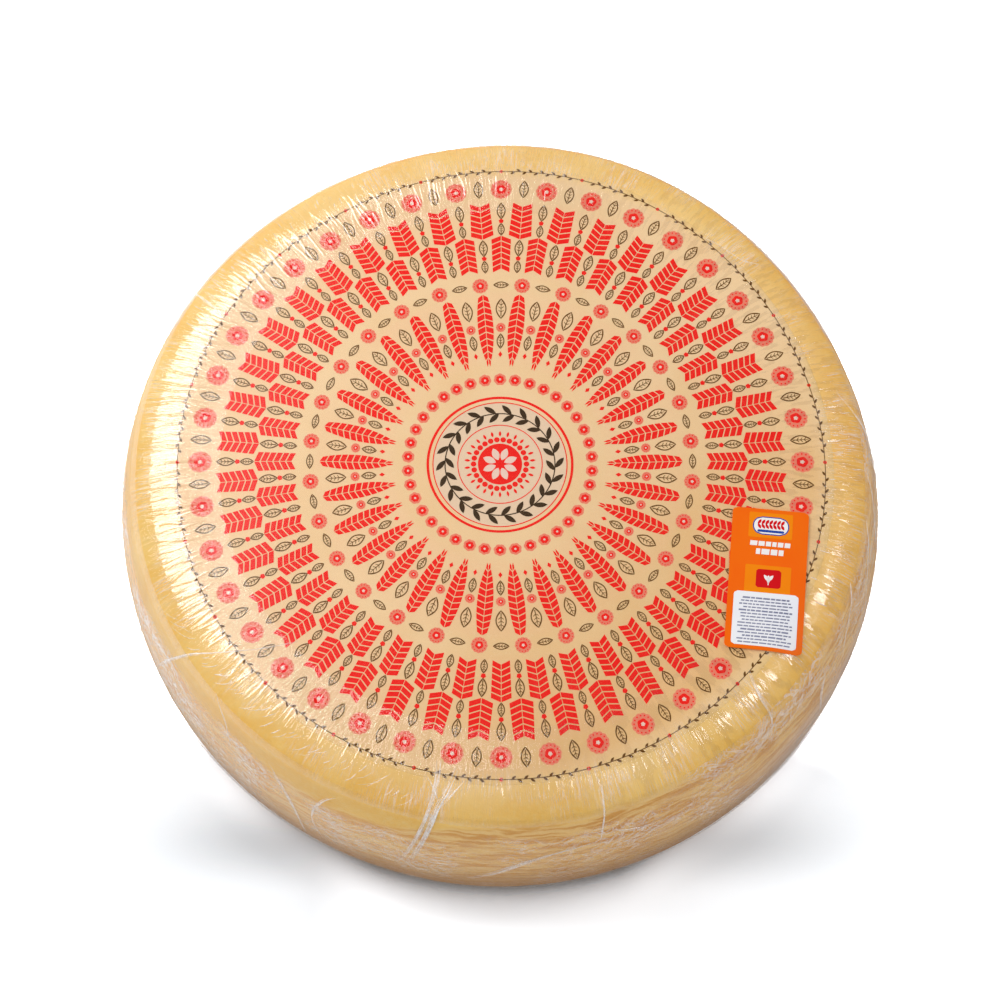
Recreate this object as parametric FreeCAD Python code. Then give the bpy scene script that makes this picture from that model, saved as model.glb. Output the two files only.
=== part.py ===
import FreeCAD, Part
import math
import os

# A whole wheel of hard mountain cheese, lying on its base and wrapped in clear stretched film, with a
# printed sheet on its face and a card with an information label stuck on near the rim.
# Millimetres, +Z up. The origin is the centre of the flat base.

# ---- The wheel, with its film ----
wheel_radius = 400.0  # at the belly, the widest place
wheel_height = 214.0  # from the base to the middle of the face
face_crown = 5.0  # rise of the face from its edge to its middle
shoulder_radius = 95.0  # section radius of the band that rolls over from the face
shoulder_width = 54.0  # radial width of that band
shoulder_inset = 21.0  # how far the shoulder's outer edge lies inside the belly
edge_softness = 24.0  # rounding where the shoulder meets the side
belly_height = 73.0  # height of the widest place; the side sags below the middle
heel_radius = 37.0  # rounding between the side and the base

# ---- The printed sheet on the face ----
sheet_thickness = 0.5
sheet_overlap = 17.0  # how far it runs over the start of the shoulder

# ---- The card, stuck on over the sheet and the film ----
card_width = 77.0
card_length = 150.0
card_thickness = 0.8
card_corner = 5.0
card_set_in = 103.5  # from the belly in to the middle of the card
card_bearing = -25.6  # degrees from +X to the middle of the card
card_turn = -5.1  # degrees that its long side leans from +Y

# ---- The information label on the card ----
info_length = 56.5
info_thickness = 0.3
info_side_margin = 6.3
info_foot_margin = 3.8
info_corner = 3.5

# ---- Worked out from the sizes above ----
face_radius = wheel_radius - shoulder_inset - shoulder_width
crown_radius = (face_radius**2 + face_crown**2) / (2 * face_crown)
card_base = sheet_thickness  # heights above the wheel's own surface
info_base = card_base + card_thickness


def on_circle(centre, radius, angle):
    """The point of a circle in the (r, z) section, its angle measured up from the outward direction."""
    return (centre[0] + radius * math.cos(angle), centre[1] + radius * math.sin(angle))


def angle_of(centre, point):
    return math.atan2(point[1] - centre[1], point[0] - centre[0])


def blend_centre(first, first_radius, second, second_radius, radius):
    """Centre of a smaller circle that touches two others from inside, near the upper place where they
    cross; second lies inward of first."""
    a = first_radius - radius
    b = second_radius - radius
    gap = math.dist(first, second)
    along = (a**2 - b**2 + gap**2) / (2 * gap)
    across = math.sqrt(a**2 - along**2)
    ur = (second[0] - first[0]) / gap
    uz = (second[1] - first[1]) / gap
    return (first[0] + along * ur + across * uz, first[1] + along * uz - across * ur)


def section_arcs():
    """The wheel's outline in section from the middle of the face to the base, as five tangent arcs:
    (centre, radius, first angle, last angle)."""
    upright = math.pi / 2
    crown = (0.0, wheel_height - crown_radius)
    face_edge = math.acos(face_radius / crown_radius)
    share = 1 - shoulder_radius / crown_radius
    shoulder = (share * face_radius, crown[1] + share * crown_radius * math.sin(face_edge))
    shoulder_end = math.acos(math.cos(face_edge) + shoulder_width / shoulder_radius)
    corner = on_circle(shoulder, shoulder_radius, shoulder_end)
    rise = corner[1] - belly_height
    side_radius = (shoulder_inset**2 + rise**2) / (2 * shoulder_inset)
    side = (wheel_radius - side_radius, belly_height)
    edge = blend_centre(shoulder, shoulder_radius, side, side_radius, edge_softness)
    edge_top = angle_of(shoulder, edge)
    edge_foot = angle_of(side, edge)
    side_foot = -math.asin((belly_height - heel_radius) / (side_radius - heel_radius))
    heel = on_circle(side, side_radius - heel_radius, side_foot)
    return [
        (crown, crown_radius, upright, face_edge),
        (shoulder, shoulder_radius, face_edge, edge_top),
        (edge, edge_softness, edge_top, edge_foot),
        (side, side_radius, edge_foot, side_foot),
        (heel, heel_radius, side_foot, -upright),
    ]


def arc_edge(centre, radius, start, end):
    """One arc of a section as an edge in the XZ plane."""
    points = [on_circle(centre, radius, angle) for angle in (start, (start + end) / 2, end)]
    return Part.Arc(*[FreeCAD.Vector(r, 0, z) for r, z in points]).toShape()


def line_edge(start, end):
    return Part.makeLine(FreeCAD.Vector(start[0], 0, start[1]), FreeCAD.Vector(end[0], 0, end[1]))


def raised(arcs, height):
    """The same outline, the given height further out."""
    return [(centre, radius + height, start, end) for centre, radius, start, end in arcs]


def turned(edges):
    """The solid that a closed section sweeps in a full turn about the wheel's axis."""
    face = Part.Face(Part.Wire(Part.__sortEdges__(edges)))
    return face.revolve(FreeCAD.Vector(0, 0, 0), FreeCAD.Vector(0, 0, 1), 360)


def layer(arcs, low, high):
    """A skin over the given arcs, between two heights above the wheel's surface."""
    inner = raised(arcs, low)
    outer = raised(arcs, high)
    edges = [arc_edge(*arc) for arc in inner + outer]
    for end, angle_index in ((0, 2), (-1, 3)):
        centre, radius, *_ = inner[end]
        angle = inner[end][angle_index]
        edges.append(line_edge(on_circle(centre, radius, angle), on_circle(centre, radius + high - low, angle)))
    return turned(edges)


def rounded_prism(width, length, corner, foot):
    """An upright prism on a rounded rectangle that stands on the card's own axes, its middle foot mm up
    the card from the card's middle."""
    half_width = width / 2
    half_length = length / 2
    diagonal = corner * math.sqrt(0.5)
    edges = []
    for quarter in range(4):
        turn = math.radians(90 * quarter)
        reach = (half_width, half_length) if quarter % 2 == 0 else (half_length, half_width)
        inner = (reach[0] - corner, reach[1] - corner)
        spots = [
            (reach[0], inner[1]),
            (inner[0] + diagonal, inner[1] + diagonal),
            (inner[0], reach[1]),
            (corner - reach[0], reach[1]),
        ]
        corner_start, corner_mid, corner_end, side_end = [
            FreeCAD.Vector(
                x * math.cos(turn) - y * math.sin(turn),
                x * math.sin(turn) + y * math.cos(turn) + foot,
                0,
            )
            for x, y in spots
        ]
        edges.append(Part.Arc(corner_start, corner_mid, corner_end).toShape())
        edges.append(Part.makeLine(corner_end, side_end))
    prism = Part.Face(Part.Wire(edges)).extrude(FreeCAD.Vector(0, 0, wheel_height))
    prism.rotate(FreeCAD.Vector(0, 0, 0), FreeCAD.Vector(0, 0, 1), card_turn)
    bearing = math.radians(card_bearing)
    reach = wheel_radius - card_set_in
    prism.translate(FreeCAD.Vector(reach * math.cos(bearing), reach * math.sin(bearing), belly_height))
    return prism


def cheese_wheel():
    """The wrapped wheel: crowned face, rolled shoulder, softened edge, bulging side, heel and flat base."""
    arcs = section_arcs()
    heel_centre = arcs[-1][0]
    top = (0.0, wheel_height)
    middle = (0.0, 0.0)
    base_edge = (heel_centre[0], 0.0)
    edges = [arc_edge(*arc) for arc in arcs]
    return turned(edges + [line_edge(base_edge, middle), line_edge(middle, top)])


def top_sheet():
    """The printed sheet, which lies on the face and bends over the start of the shoulder."""
    crown, shoulder = section_arcs()[:2]
    centre, radius, start, _ = shoulder
    end = math.acos((face_radius + sheet_overlap - centre[0]) / radius)
    return layer([crown, (centre, radius, start, end)], 0.0, sheet_thickness)


def on_the_face(width, length, corner, foot, low, high):
    """A stuck-on rectangle that follows the face, shoulder, edge and upper side under it."""
    *upper, side, _ = section_arcs()
    centre, radius, start, _ = side
    skin = layer([*upper, (centre, radius, start, 0.0)], low, high)
    return skin.common(rounded_prism(width, length, corner, foot)).Solids[0]


def stuck_card():
    return on_the_face(card_width, card_length, card_corner, 0.0, card_base, card_base + card_thickness)


def info_label():
    width = card_width - 2 * info_side_margin
    foot = info_foot_margin + info_length / 2 - card_length / 2
    return on_the_face(width, info_length, info_corner, foot, info_base, info_base + info_thickness)


NODES = {
    "cheese_wheel": cheese_wheel,
    "top_sheet": top_sheet,
    "stuck_card": stuck_card,
    "info_label": info_label,
}

os.makedirs("parts", exist_ok=True)
for name, build in NODES.items():
    shape = build()
    shape.exportStep(os.path.join("parts", name + ".step"))
    print(name, "solids", len(shape.Solids), "volume", round(shape.Volume), "valid", shape.isValid())
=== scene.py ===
import math

import bpy
import numpy as np
from mathutils import Matrix, Vector


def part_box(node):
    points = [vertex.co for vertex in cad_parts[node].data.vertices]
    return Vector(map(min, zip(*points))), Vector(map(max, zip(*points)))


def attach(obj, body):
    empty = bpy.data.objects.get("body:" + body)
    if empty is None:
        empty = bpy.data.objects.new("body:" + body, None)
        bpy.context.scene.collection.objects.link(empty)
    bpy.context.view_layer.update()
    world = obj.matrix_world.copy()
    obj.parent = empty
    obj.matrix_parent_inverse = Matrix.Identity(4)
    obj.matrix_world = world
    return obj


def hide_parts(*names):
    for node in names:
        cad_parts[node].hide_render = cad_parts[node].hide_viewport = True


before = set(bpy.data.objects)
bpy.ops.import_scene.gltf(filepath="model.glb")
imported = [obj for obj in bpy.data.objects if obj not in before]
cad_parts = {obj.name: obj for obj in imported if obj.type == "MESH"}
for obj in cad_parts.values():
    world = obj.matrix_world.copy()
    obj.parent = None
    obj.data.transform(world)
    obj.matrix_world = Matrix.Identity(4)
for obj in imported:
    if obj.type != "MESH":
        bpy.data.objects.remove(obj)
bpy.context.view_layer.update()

# A whole cheese wheel in clear stretched film, with a printed sheet on its face and a card stuck on
# near the rim. Metres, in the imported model's frame: +Z up, the origin at the centre of the base.

MM = 0.001
TURN = 2 * math.pi

# ---- The wheel's section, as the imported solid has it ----
wheel_low, wheel_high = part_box("cheese_wheel")
WHEEL_RADIUS = (wheel_high[0] - wheel_low[0]) / 2
WHEEL_HEIGHT = wheel_high[2]
FACE_CROWN = 5 * MM
SHOULDER_RADIUS = 95 * MM
SHOULDER_WIDTH = 54 * MM
SHOULDER_INSET = 21 * MM
EDGE_SOFTNESS = 24 * MM
BELLY_HEIGHT = 73 * MM
HEEL_RADIUS = 37 * MM
SHEET_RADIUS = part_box("top_sheet")[1][0]
PRINT_DRIFT = 4 * MM  # how far forwards the middle of the print lies

# ---- The card ----
CARD_WIDTH = 77 * MM
CARD_LENGTH = 150 * MM
CARD_CORNER = 5 * MM
CARD_SET_IN = 103.5 * MM
CARD_BEARING = math.radians(-25.6)
CARD_TURN = math.radians(-5.1)
INFO_LENGTH = 56.5 * MM
INFO_SIDE_MARGIN = 6.3 * MM
INFO_FOOT_MARGIN = 3.8 * MM
INFO_CORNER = 3.5 * MM

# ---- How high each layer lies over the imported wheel's surface ----
RIND_LIFT = -0.5 * MM
SHEET_LIFT = 0.3 * MM
SHEET_THICKNESS = 0.6 * MM
INK_LIFTS = {"pink": 0.36 * MM, "red": 0.44 * MM, "dark": 0.44 * MM, "olive": 0.44 * MM, "pale": 0.52 * MM}
INK_THICKNESS = 0.12 * MM
FILM_LIFT = 0.8 * MM
CARD_LIFT = 2.2 * MM
CARD_THICKNESS = 0.7 * MM
CARD_INK_LIFT = 2.32 * MM
CARD_INK_THICKNESS = 0.08 * MM
INFO_LIFT = 2.45 * MM
INFO_THICKNESS = 0.2 * MM
INFO_INK_LIFT = 2.55 * MM
INFO_INK_THICKNESS = 0.06 * MM

SAMPLE = 0.25 * MM  # spacing of the points that stand for the section


# ======== The surface


def section():
    """Points along the outline from the middle of the face to the middle of the base: distance along it,
    radius, height and the outward normal's two parts, and the distance at which each arc ends."""
    face_radius = WHEEL_RADIUS - SHOULDER_INSET - SHOULDER_WIDTH
    crown_radius = (face_radius**2 + FACE_CROWN**2) / (2 * FACE_CROWN)
    crown = (0.0, WHEEL_HEIGHT - crown_radius)
    face_edge = math.acos(face_radius / crown_radius)
    share = 1 - SHOULDER_RADIUS / crown_radius
    shoulder = (share * face_radius, crown[1] + share * crown_radius * math.sin(face_edge))
    shoulder_end = math.acos(math.cos(face_edge) + SHOULDER_WIDTH / SHOULDER_RADIUS)
    rise = shoulder[1] + SHOULDER_RADIUS * math.sin(shoulder_end) - BELLY_HEIGHT
    side_radius = (SHOULDER_INSET**2 + rise**2) / (2 * SHOULDER_INSET)
    side = (WHEEL_RADIUS - side_radius, BELLY_HEIGHT)
    a = SHOULDER_RADIUS - EDGE_SOFTNESS
    b = side_radius - EDGE_SOFTNESS
    gap = math.dist(shoulder, side)
    along = (a**2 - b**2 + gap**2) / (2 * gap)
    across = math.sqrt(a**2 - along**2)
    ur, uz = ((side[i] - shoulder[i]) / gap for i in (0, 1))
    edge = (shoulder[0] + along * ur + across * uz, shoulder[1] + along * uz - across * ur)
    edge_top, edge_foot = (math.atan2(edge[1] - c[1], edge[0] - c[0]) for c in (shoulder, side))
    side_foot = -math.asin((BELLY_HEIGHT - HEEL_RADIUS) / (side_radius - HEEL_RADIUS))
    heel = (side[0] + (side_radius - HEEL_RADIUS) * math.cos(side_foot), HEEL_RADIUS)
    arcs = [
        (crown, crown_radius, math.pi / 2, face_edge),
        (shoulder, SHOULDER_RADIUS, face_edge, edge_top),
        (edge, EDGE_SOFTNESS, edge_top, edge_foot),
        (side, side_radius, edge_foot, side_foot),
        (heel, HEEL_RADIUS, side_foot, -math.pi / 2),
    ]
    rows = []
    ends = []
    reached = 0.0
    for centre, radius, start, end in arcs:
        length = radius * (start - end)
        steps = np.linspace(0, 1, max(int(length / SAMPLE), 8), endpoint=False)
        angle = start + (end - start) * steps
        normal = (np.cos(angle), np.sin(angle))
        place = (centre[0] + radius * normal[0], centre[1] + radius * normal[1])
        rows.append(np.stack([reached + length * steps, *place, *normal], 1))
        reached += length
        ends.append(reached)
    steps = np.linspace(0, 1, 200)
    flat = np.zeros_like(steps)
    rows.append(np.stack([reached + heel[0] * steps, heel[0] * (1 - steps), flat, flat, flat - 1], 1))
    return np.concatenate(rows).T, ends + [reached + heel[0]]


OUTLINE, (FACE_END, _, EDGE_END, SIDE_END, HEEL_END, BASE_END) = section()

# The wheel isn't quite round: waves of its rim, as (how many round it, height, where the first crest lies).
RIM_WAVES = ((2, 0.8 * MM, -63), (3, 1.1 * MM, -44), (4, 1.3 * MM, -14), (5, 0.7 * MM, -2))

# Its face swells and sinks a little from ring to ring.
SWELL_HEIGHT = 0.4 * MM
SWELL_SPACING = 55 * MM


def along(distance):
    """Radius, height and outward normal of the outline at a distance from the middle of the face."""
    return [np.interp(distance, OUTLINE[0], row) for row in OUTLINE[1:]]


def on_wheel(distance, bearing, lift=0.0):
    """Points on the wheel: distance along the outline, bearing about the axis and lift off the surface."""
    radius, height, out, up = along(distance)
    wave = sum(size * np.cos(count * (bearing - math.radians(at))) for count, size, at in RIM_WAVES)
    radius = radius + wave * (radius / WHEEL_RADIUS) ** 2 + lift * out
    swell = SWELL_HEIGHT * np.sin(radius / SWELL_SPACING + 2 * np.cos(2 * bearing))
    swell = swell * smooth(radius, 0, 120 * MM)
    height = height + lift * up + swell * smooth(height, 0.85 * WHEEL_HEIGHT, WHEEL_HEIGHT)
    return np.stack([radius * np.cos(bearing), radius * np.sin(bearing), height], -1)


TOP_ROWS = OUTLINE[0] <= EDGE_END


def over(x, y, lift=0.0):
    """Points on the wheel's upper side above the plan points (x, y), as near as its uneven rim allows."""
    distance = np.interp(np.hypot(x, y), OUTLINE[1][TOP_ROWS], OUTLINE[0][TOP_ROWS])
    return on_wheel(distance, np.arctan2(y, x), lift)


def ripple(bearing, across, around, bands, seed):
    """Smooth noise from -1 to 1 that closes round the wheel: around cells in a turn and bands cells over
    across, which goes from 0 to 1."""
    grid = np.random.default_rng(seed).uniform(-1, 1, (around, bands + 4))
    u = (bearing / TURN) % 1 * around
    v = np.clip(across, 0, 1) * bands + 1
    iu, iv = np.floor(u).astype(int), np.minimum(np.floor(v).astype(int), bands + 1)
    wu, wv = (spline_weights(t) for t in (u - iu, v - iv))
    total = 0.0
    for p in range(4):
        for q in range(4):
            total = total + wu[p] * wv[q] * grid[(iu + p - 1) % around, iv + q - 1]
    return 1.5 * total


def spline_weights(t):
    """How much each of four neighbouring values counts in a cubic B-spline."""
    return ((1 - t) ** 3 / 6, (3 * t**3 - 6 * t**2 + 4) / 6, (1 + 3 * t + 3 * t**2 - 3 * t**3) / 6, t**3 / 6)


def smooth(value, start, end):
    """From 0 at start to 1 at end, level at both."""
    t = np.clip((value - start) / (end - start), 0, 1)
    return t * t * (3 - 2 * t)


def ridge(noise, width):
    """1 on the lines where the noise crosses zero, falling off within width."""
    return np.exp(-((noise / width) ** 2))


# ======== Mesh helpers


def mesh_piece(name, points, faces, material, slot, smooth_faces=True):
    mesh = bpy.data.meshes.new(name)
    mesh.from_pydata(np.asarray(points).tolist(), [], [tuple(map(int, f)) for f in faces])
    mesh.validate()
    mesh.polygons.foreach_set("use_smooth", [smooth_faces] * len(mesh.polygons))
    mesh.materials.append(material)
    mesh.update()
    piece = bpy.data.objects.new(name, mesh)
    bpy.context.collection.objects.link(piece)
    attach(piece, "root")
    return piece


def turned_grid(distances, around, lift):
    """Points and quads of a band round the wheel; lift is a function of (distance, bearing). A band that
    starts or ends on the axis gets a fan there."""
    bearing = np.arange(around) / around * TURN
    rows = np.asarray([d for d in distances if OUTLINE[0][0] < d < BASE_END])
    s, b = np.meshgrid(rows, bearing, indexing="ij")
    points = on_wheel(s, b, lift(s, b)).reshape(-1, 3)
    grid = np.arange(points.shape[0]).reshape(s.shape)
    after = np.roll(grid, -1, 1)
    faces = np.stack([grid[:-1], grid[1:], after[1:], after[:-1]], -1).reshape(-1, 4).tolist()
    extra = []
    for end, row, order in ((0.0, grid[0], 1), (BASE_END, grid[-1], -1)):
        if end in (distances[0], distances[-1]):
            zero = np.zeros(1)
            extra.append(on_wheel(zero + end, zero, np.mean(lift(zero + end, zero)))[0])
            tip = len(points) + len(extra) - 1
            faces += [(tip, a, b)[::order] for a, b in zip(row.tolist(), np.roll(row, -1).tolist())]
    return (np.concatenate([points, extra]) if extra else points), faces


def thickened(piece, thickness):
    """Gives an open piece its thickness, inwards."""
    wall = piece.modifiers.new("thickness", "SOLIDIFY")
    wall.thickness = thickness
    wall.offset = -1
    wall.use_even_offset = False
    graph = bpy.context.evaluated_depsgraph_get()
    solid = bpy.data.meshes.new_from_object(piece.evaluated_get(graph))
    old = piece.data
    piece.modifiers.clear()
    piece.data = solid
    bpy.data.meshes.remove(old)
    solid.name = piece.name


# ======== Materials


class Nodes:
    """A short way to write the nodes of a material or of the world."""

    def __init__(self, owner, output):
        owner.use_nodes = True
        self.owner = owner
        self.tree = owner.node_tree
        self.tree.nodes.clear()
        self.output = self.add(output)

    def add(self, kind, inputs=(), **settings):
        node = self.tree.nodes.new("ShaderNode" + kind)
        for key, value in settings.items():
            setattr(node, key, value)
        for key, value in dict(inputs).items():
            self.put(node.inputs[key], value)
        return node

    def put(self, socket, value):
        if isinstance(value, bpy.types.NodeSocket):
            self.tree.links.new(value, socket)
        elif isinstance(value, tuple) and len(value) == 3 and socket.type == "RGBA":
            socket.default_value = (*value, 1)
        else:
            socket.default_value = value

    def maths(self, operation, a, b=0.0, c=0.0):
        return self.add("Math", {0: a, 1: b, 2: c}, operation=operation).outputs[0]

    def plus(self, a, b):
        return self.maths("ADD", a, b)

    def minus(self, a, b):
        return self.maths("SUBTRACT", a, b)

    def times(self, a, b):
        return self.maths("MULTIPLY", a, b)

    def times_plus(self, a, b, c):
        return self.maths("MULTIPLY_ADD", a, b, c)

    def ratio(self, a, b):
        return self.maths("DIVIDE", a, b)

    def larger(self, a, b):
        return self.maths("MAXIMUM", a, b)

    def size(self, a):
        return self.maths("ABSOLUTE", a)

    def length(self, a, b):
        return self.maths("SQRT", self.plus(self.times(a, a), self.times(b, b)))

    def vector(self, x, y, z):
        return self.add("CombineXYZ", {0: x, 1: y, 2: z}).outputs[0]

    def spot(self):
        """The point in the wheel's own frame."""
        return self.add("TexCoord").outputs["Object"]

    def xyz(self):
        return tuple(self.add("SeparateXYZ", {0: self.spot()}).outputs)

    def place(self):
        """The point's x, y and z, its radius, and the cosine and sine of its bearing."""
        x, y, z = self.xyz()
        radius = self.larger(self.length(x, y), 1e-5)
        return x, y, z, radius, self.ratio(x, radius), self.ratio(y, radius)

    def wrapped(self, cosine, sine, turns, level):
        """A place for noise that closes round the wheel, finer with more turns."""
        return self.vector(self.times(cosine, turns), self.times(sine, turns), level)

    def noise(self, vector, scale, detail=3.0, roughness=0.55, distortion=0.0):
        values = {"Vector": vector, "Scale": scale, "Detail": detail, "Roughness": roughness}
        return self.add("TexNoise", {**values, "Distortion": distortion}).outputs[0]

    def step(self, value, start, end, low=0.0, high=1.0, way="SMOOTHSTEP"):
        """From low, where the value is start, to high, where it is end."""
        values = {"Value": value, "From Min": start, "From Max": end, "To Min": low, "To Max": high}
        return self.add("MapRange", values, interpolation_type=way).outputs[0]

    def mix(self, factor, a, b, blend="MIX"):
        node = self.add("Mix", data_type="RGBA", blend_type=blend)
        for key, value in ((0, factor), (6, a), (7, b)):
            self.put(node.inputs[key], value)
        return node.outputs[2]

    def bump(self, height, strength, distance):
        values = {"Height": height, "Strength": strength, "Distance": distance}
        return self.add("Bump", values).outputs[0]

    def surface(self, shader):
        self.tree.links.new(shader, self.output.inputs["Surface"])
        return self.owner

    def dull(self, colour, roughness, bump):
        """A surface of its own colour with little gloss."""
        values = {"Base Color": colour, "Roughness": roughness, "Normal": bump, "Specular IOR Level": 0.1}
        return self.surface(self.add("BsdfPrincipled", values).outputs[0])


def material_nodes(name):
    return Nodes(bpy.data.materials.new(name), "OutputMaterial")


def linear(red, green, blue):
    """A colour given in the usual 0 to 255 steps, as the renderer's linear values."""
    shares = [c / 255 for c in (red, green, blue)]
    return tuple(((c + 0.055) / 1.055) ** 2.4 if c > 10 / 255 else c / 12.92 for c in shares)


def lower_left(n, x, y):
    """How much lower the side's tones begin: more toward the lower left, and a little less on the right."""
    return n.times(n.step(x, 0.02, -0.15, -0.008, 0.020), n.step(y, 0.2, 0.0))


def rind_material():
    n = material_nodes("rind")
    x, y, z, radius, cosine, sine = n.place()
    cloud = n.noise(n.spot(), 14, 4)
    grain = n.noise(n.spot(), 160, 4, 0.65)

    # The shoulder: golden, paler next to the sheet, deeper at the right in painted shade, and a little darker
    # at the left.
    mottle = n.step(cloud, 0.35, 0.65)
    gold = n.mix(mottle, linear(253, 209, 118), linear(248, 197, 98))
    pale = n.mix(mottle, linear(254, 215, 142), linear(250, 207, 128))
    gold = n.mix(n.step(n.plus(radius, n.times(cloud, 0.016)), 0.352, 0.384), pale, gold)
    gold = n.mix(n.step(grain, 0.45, 0.7, 0, 0.3), gold, linear(252, 222, 154))
    # Painted shade: the right of the shoulder is darkened and warmed.
    gold = n.mix(n.step(x, 0.20, 0.37), gold, (1.0, 0.90, 0.72), "MULTIPLY")
    gold = n.mix(n.step(x, -0.27, -0.37), gold, (0.93, 0.95, 0.93), "MULTIPLY")

    # The side: tan in nearly level streaks, with painted light on the left and painted shade at the foot.
    level = n.times(n.plus(z, n.times(cloud, 0.03)), 190)
    streaks = n.noise(n.wrapped(cosine, sine, 8, level), 1, 5, 0.62, 0.6)
    streaky = n.step(streaks, 0.42, 0.6)
    tan = n.mix(streaky, linear(249, 206, 132), linear(224, 162, 78))
    # Painted light: a lighter tan on the left, where the key lamp falls.
    light = n.mix(streaky, linear(255, 220, 156), linear(244, 190, 114))
    tan = n.mix(n.step(x, 0.05, -0.25), tan, light)
    # Painted shade: a darker tan at the foot, next to the floor.
    tan = n.mix(n.step(z, 0.125, 0.035), tan, linear(182, 130, 68))

    side = n.step(n.plus(lower_left(n, x, y), n.times_plus(cloud, 0.03, z)), 0.200, 0.188)
    height = n.plus(grain, n.times(streaks, side))
    roughness = n.step(grain, 0.3, 0.7, 0.42, 0.6)
    return n.dull(n.mix(side, gold, tan), roughness, n.bump(height, 0.5, 0.6 * MM))


def sheet_material():
    n = material_nodes("sheet")
    x, y, _, radius = n.place()[:4]
    cloud = n.noise(n.spot(), 9, 3)
    fleck = n.noise(n.spot(), 420, 2, 0.7)
    cream = n.mix(n.step(cloud, 0.35, 0.65), linear(249, 214, 166), linear(246, 207, 155))

    # Warmer under the two broad rings of print, and pinker inside the roundel, which lies forwards.
    inner = n.times(n.step(radius, 0.104, 0.116), n.step(radius, 0.196, 0.186))
    outer = n.times(n.step(radius, 0.206, 0.218), n.step(radius, 0.306, 0.296))
    rings = n.times(n.plus(inner, outer), n.step(cloud, 0.4, 0.6, 0.3, 0.75))
    cream = n.mix(rings, cream, linear(249, 208, 162))
    roundel = n.step(n.length(x, n.plus(y, PRINT_DRIFT)), 0.0690, 0.0675)
    cream = n.mix(roundel, cream, linear(240, 210, 178))
    cream = n.mix(n.step(fleck, 0.5, 0.75, 0, 0.35), cream, linear(254, 226, 184))

    # Golden at the edge, where the rind shows through, and darker toward the lower right in painted shade.
    rim = n.step(n.plus(radius, n.times(cloud, 0.008)), 0.33, 0.35)
    colour = n.mix(rim, cream, linear(252, 212, 138))
    # Painted shade: the sheet darkens toward the lower right, away from the light.
    painted_shade = n.times_plus(cloud, 0.05, n.times_plus(x, 0.7, n.times(y, -0.85)))
    painted_shade = n.times(n.step(painted_shade, 0.04, 0.34), n.step(radius, 0.345, 0.315))
    colour = n.mix(painted_shade, colour, (0.93, 0.85, 0.70), "MULTIPLY")
    return n.dull(colour, n.step(fleck, 0.3, 0.7, 0.4, 0.55), n.bump(fleck, 0.2, 0.2 * MM))


def ink_material(name, strong, weak):
    """Ink of a strong colour that is worn to a weak one in specks and patches."""
    n = material_nodes(name)
    grain = n.noise(n.spot(), 900, 3, 0.7)
    patch = n.noise(n.spot(), 26, 3)
    worn = n.times(n.step(grain, 0.48, 0.72), n.step(patch, 0.3, 0.7, 0.25, 0.9))
    colour = n.mix(worn, linear(*strong), linear(*weak))
    return n.dull(colour, n.step(grain, 0.3, 0.7, 0.4, 0.55), n.bump(grain, 0.15, 0.1 * MM))


def card_material(name, colour, other, roughness):
    """Printed card or label paper, faintly mottled between two colours."""
    n = material_nodes(name)
    fibre = n.noise(n.spot(), 700, 3, 0.6)
    tone = n.step(n.noise(n.spot(), 22, 2), 0.35, 0.65)
    rough = n.step(fibre, 0.3, 0.7, roughness - 0.06, roughness + 0.06)
    return n.dull(n.mix(tone, linear(*colour), linear(*other)), rough, n.bump(fibre, 0.1, 0.1 * MM))


def film_shader(n, veil, haze_colour, bump, mirror, slanting, roughness):
    """Clear film: see-through, with a veil where it is creased white and a gloss over all of it that is
    mirror where it is met square on and more at a slant. Lamps shine through it."""
    slant = n.add("LayerWeight", {"Blend": 0.5, "Normal": bump}).outputs["Facing"]
    gloss = n.times_plus(n.maths("POWER", slant, 4.5), slanting, mirror)
    shine = n.add("BsdfGlossy", {"Color": (1.0, 1.0, 1.0), "Roughness": roughness, "Normal": bump}).outputs[0]
    haze = n.add("BsdfDiffuse", {"Color": haze_colour, "Normal": bump}).outputs[0]
    clear = n.add("BsdfTransparent").outputs[0]
    body = n.add("MixShader", {0: veil, 1: clear, 2: haze}).outputs[0]
    film = n.add("MixShader", {0: gloss, 1: body, 2: shine}).outputs[0]
    lamps = n.add("LightPath").outputs["Is Shadow Ray"]
    return n.surface(n.add("MixShader", {0: lamps, 1: film, 2: clear}).outputs[0])


def crease_lines(n, place, wide, distortion):
    """Noise at a place, and the thin lines along which it passes its middle value."""
    noise = n.noise(place, 1, 2, 0.55, distortion)
    return noise, n.step(n.size(n.minus(noise, 0.5)), wide, wide * 0.4)


def face_film_material():
    """Nearly flat, with faint creases that run out near the rim."""
    n = material_nodes("film_face")
    radius, cosine, sine = n.place()[3:]
    soft = n.noise(n.spot(), 24, 3)
    radial = n.noise(n.wrapped(cosine, sine, 60, n.times(radius, 6)), 1, 3)
    near_rim = n.step(radius, 0.2, 0.33)
    height = n.plus(n.times(soft, 0.4), n.times(radial, near_rim))
    veil = n.times(n.step(radial, 0.55, 0.75), n.times(near_rim, 0.05))
    bump = n.bump(height, 0.12, 1.0 * MM)
    return film_shader(n, veil, (0.95, 0.94, 0.96), bump, mirror=0.05, slanting=0.7, roughness=0.14)


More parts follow.
